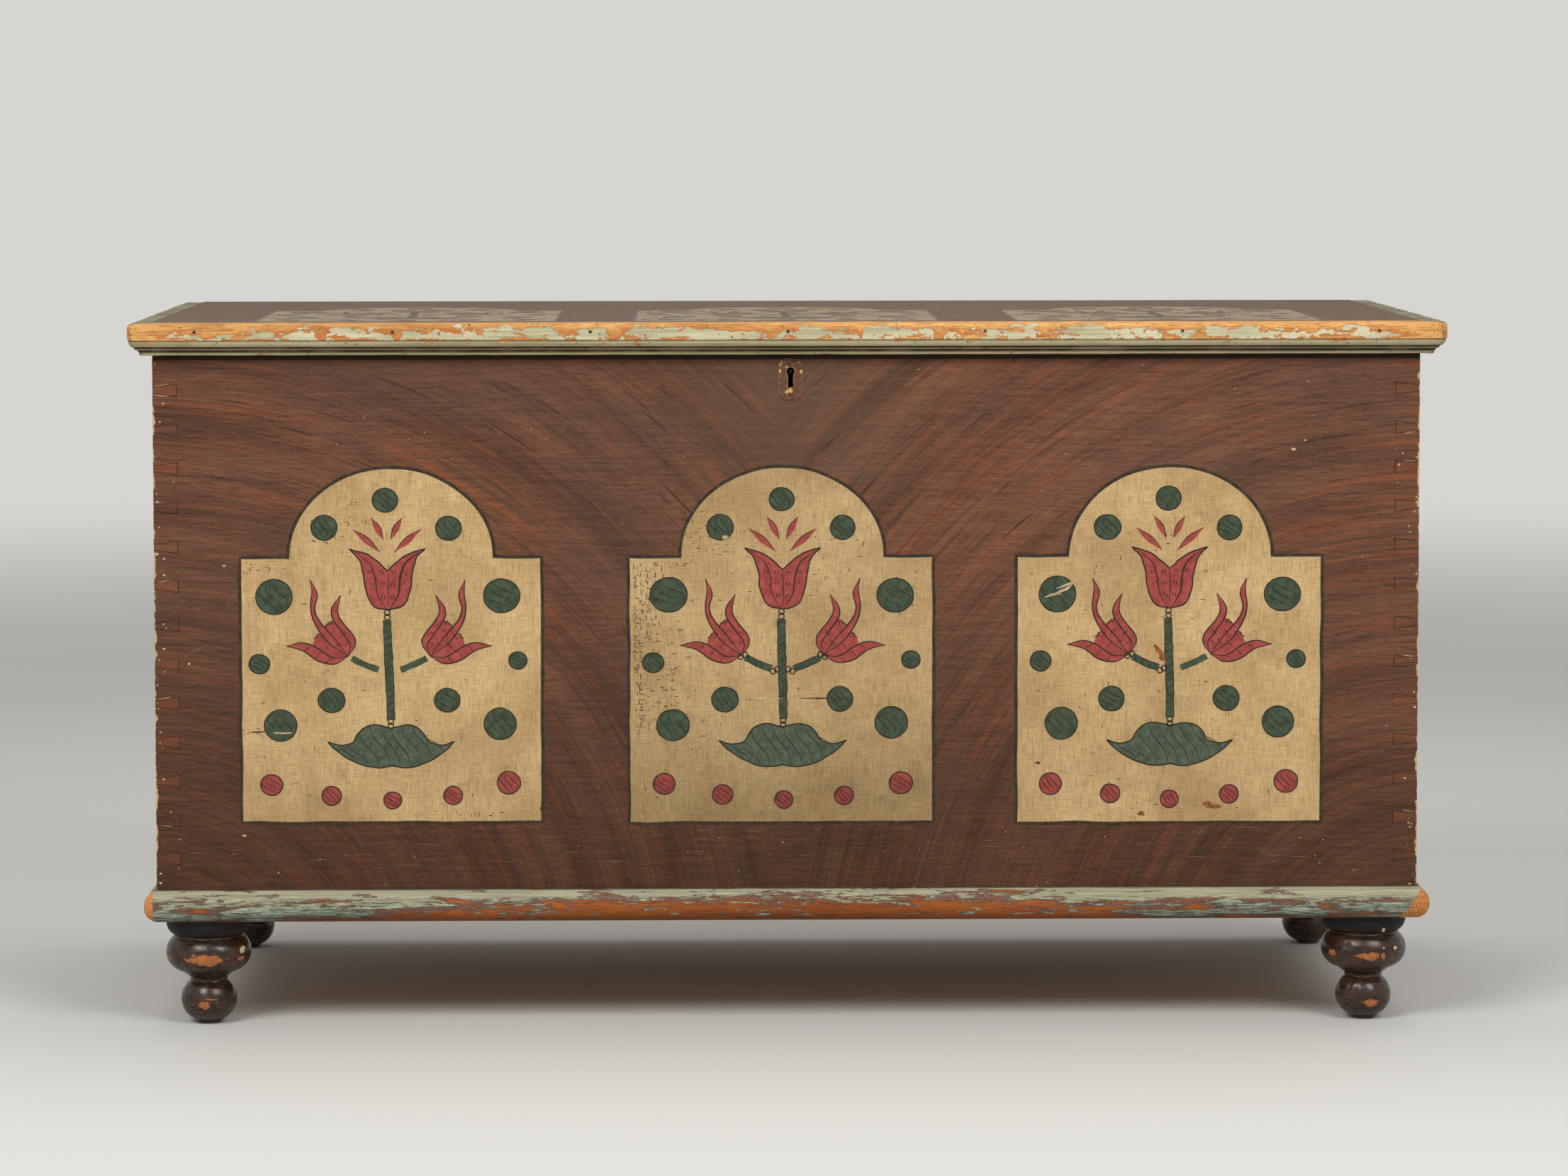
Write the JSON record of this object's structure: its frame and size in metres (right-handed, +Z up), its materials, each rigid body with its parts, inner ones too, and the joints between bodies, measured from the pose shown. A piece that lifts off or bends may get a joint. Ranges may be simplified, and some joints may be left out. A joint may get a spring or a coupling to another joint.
{
  "type": "blanket chest",
  "caption": "Painted dovetailed board chest with a hinged moulded lid, base moulding, turned feet, iron strap hinges, an open till and a lock behind a brass escutcheon.",
  "frame": {"origin": "on the floor, under the middle of the whole chest, lid moulding and hinge barrels counted in", "axes": "+X along the length to the right, the front faces -Y, +Z up"},
  "size_m": [1.302, 0.5945, 0.702],
  "materials": {
    "brown_paint": "grained red-brown paint on wood, worn",
    "green_paint": "grey-green paint on wood, worn through to bare wood",
    "bare_wood": "aged bare softwood",
    "foot_paint": "dark brown paint on turned wood, worn on the bulges",
    "brass": "brass under worn brown paint",
    "iron": "dark wrought iron"
  },
  "bodies": {
    "case": {"front_board": "brown_paint", "left_end_board": "brown_paint", "right_end_board": "brown_paint", "base_moulding_front": "green_paint", "base_moulding_left": "green_paint", "base_moulding_right": "green_paint", "back_board": "bare_wood", "bottom_board": "bare_wood", "till_side": "bare_wood", "till_bottom": "bare_wood", "foot_front_left": "foot_paint", "foot_front_right": "foot_paint", "foot_back_left": "foot_paint", "foot_back_right": "foot_paint", "escutcheon": "brass", "escutcheon_nails": "brass", "lock_case": "iron", "bolt_spring": "iron", "key_pin": "iron", "lock_nails": "iron", "back_strap_left": "iron", "back_strap_right": "iron", "hinge_pin_left": "iron", "hinge_pin_right": "iron", "back_strap_nails": "iron", "base_moulding_nails": "iron", "bottom_nails": "iron"},
    "lid": {"lid_board": "brown_paint", "lid_moulding_front": "green_paint", "lid_moulding_left": "green_paint", "lid_moulding_right": "green_paint", "lid_strap_left": "iron", "lid_strap_right": "iron", "lid_strap_nails": "iron", "lid_staple": "iron", "staple_nails": "iron", "lid_moulding_nails": "iron"},
    "bolt": {"lock_bolt": "iron"}
  },
  "joints": [
    {"name": "lid_hinge", "type": "hinge", "parent": "case", "child": "lid", "pos_m": [0, 0.29125, 0.67085], "axis": [-1, 0, 0], "range_deg": [0, 100]},
    {"name": "bolt_slide", "type": "slide", "parent": "case", "child": "bolt", "axis": [1, 0, 0], "range_m": [0, 0.01]}
  ]
}
